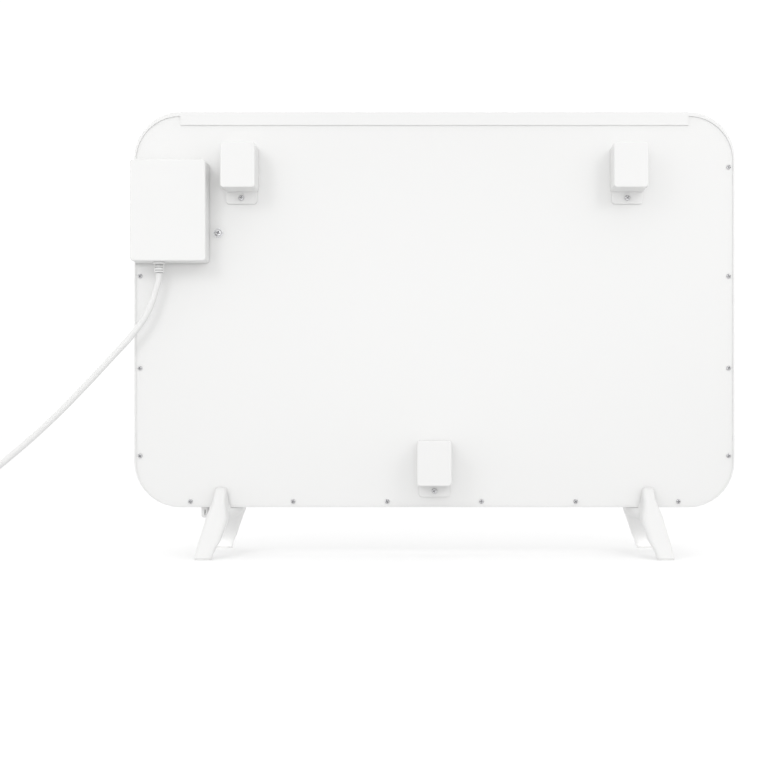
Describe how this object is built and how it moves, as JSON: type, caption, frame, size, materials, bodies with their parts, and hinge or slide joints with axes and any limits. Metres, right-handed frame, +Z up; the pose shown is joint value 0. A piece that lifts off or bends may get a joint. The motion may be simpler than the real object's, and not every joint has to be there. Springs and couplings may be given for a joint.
{
  "type": "infrared panel heater",
  "caption": "Free-standing infrared panel heater on saddle feet, with wall spacers, a control box, a rocker switch and a coiled mains cord.",
  "frame": {"origin": "on the floor, below the middle of the panel", "axes": "+Z up, +Y towards the warm front, +X along the panel, away from the control box"},
  "size_m": [0.9599, 0.202, 0.442],
  "materials": {
    "white_paint": "satin powder coat",
    "white_plastic": "satin",
    "white_cord": "satin PVC",
    "grey_rubber": "matte",
    "black_rubber": "matte",
    "steel": "zinc plated",
    "nickel": "nickel plated",
    "copper": "bare copper foil",
    "brass": "bare",
    "foil": "bright foil",
    "aluminium_can": "sleeved can",
    "carbon_film": "matte film",
    "insulation": "fibrous board",
    "bakelite": "moulded",
    "board_green": "solder mask",
    "green_plastic": "moulded",
    "blue_plastic": "moulded",
    "black_plastic": "fine texture",
    "black_gloss": "polished",
    "brown_wire": "PVC",
    "blue_wire": "PVC",
    "green_wire": "PVC",
    "grey_wire": "PVC"
  },
  "bodies": {
    "root": {"front_shell": "white_paint", "back_panel": "white_paint", "heating_element": "carbon_film", "busbar_left": "copper", "busbar_right": "copper", "reflector_sheet": "foil", "insulation_board": "insulation", "cross_rail": "steel", "lower_anchor": "steel", "thermal_cutout": "bakelite", "thermal_fuse": "steel", "live_lead": "brown_wire", "neutral_lead": "blue_wire", "earth_lead": "green_wire", "sensor_lead": "grey_wire", "display_lead": "grey_wire", "wire_grommet": "black_rubber", "earth_screw": "steel", "earth_washer": "steel", "box_base": "white_plastic", "box_cover": "white_plastic", "cover_screw_left": "steel", "cover_screw_right": "steel", "control_board": "board_green", "relay": "blue_plastic", "transformer": "black_plastic", "capacitor": "aluminium_can", "terminal_block": "green_plastic", "switch_housing": "black_plastic", "tip_switch_frame": "steel", "tip_microswitch": "black_plastic", "strain_relief": "white_plastic", "gland_nut": "white_plastic", "cord_tail": "white_cord", "touch_lens": "black_gloss", "touch_board": "board_green", "sensor_housing": "white_plastic", "bracket_left": "white_plastic", "bracket_right": "white_plastic", "bracket_bottom": "white_plastic", "bracket_screw_left": "steel", "bracket_screw_right": "steel", "bracket_screw_bottom": "steel", "foot_left": "white_plastic", "foot_right": "white_plastic", "foot_screw_left": "steel", "foot_screw_right": "steel", "foot_pad_left_rear": "grey_rubber", "foot_pad_left_front": "grey_rubber", "foot_pad_right_rear": "grey_rubber", "foot_pad_right_front": "grey_rubber", "power_cord": "white_cord", "cord_coil": "white_cord", "plug_lead": "white_cord", "plug_body": "white_plastic", "plug_pins": "nickel", "plug_earth_strip": "nickel"},
    "rocker": {"power_rocker": "black_plastic"},
    "pendulum": {"tip_pendulum": "brass"}
  },
  "joints": [
    {"name": "rocker_tilt", "type": "hinge", "parent": "root", "child": "rocker", "pos_m": [-0.2928, -0.0276, 0.3557], "axis": [0, 1, 0], "range_deg": [0, 24]},
    {"name": "pendulum_swing", "type": "hinge", "parent": "root", "child": "pendulum", "pos_m": [-0.25025, -0.0276, 0.3807], "axis": [1, 0, 0], "range_deg": [-20, 20]}
  ]
}
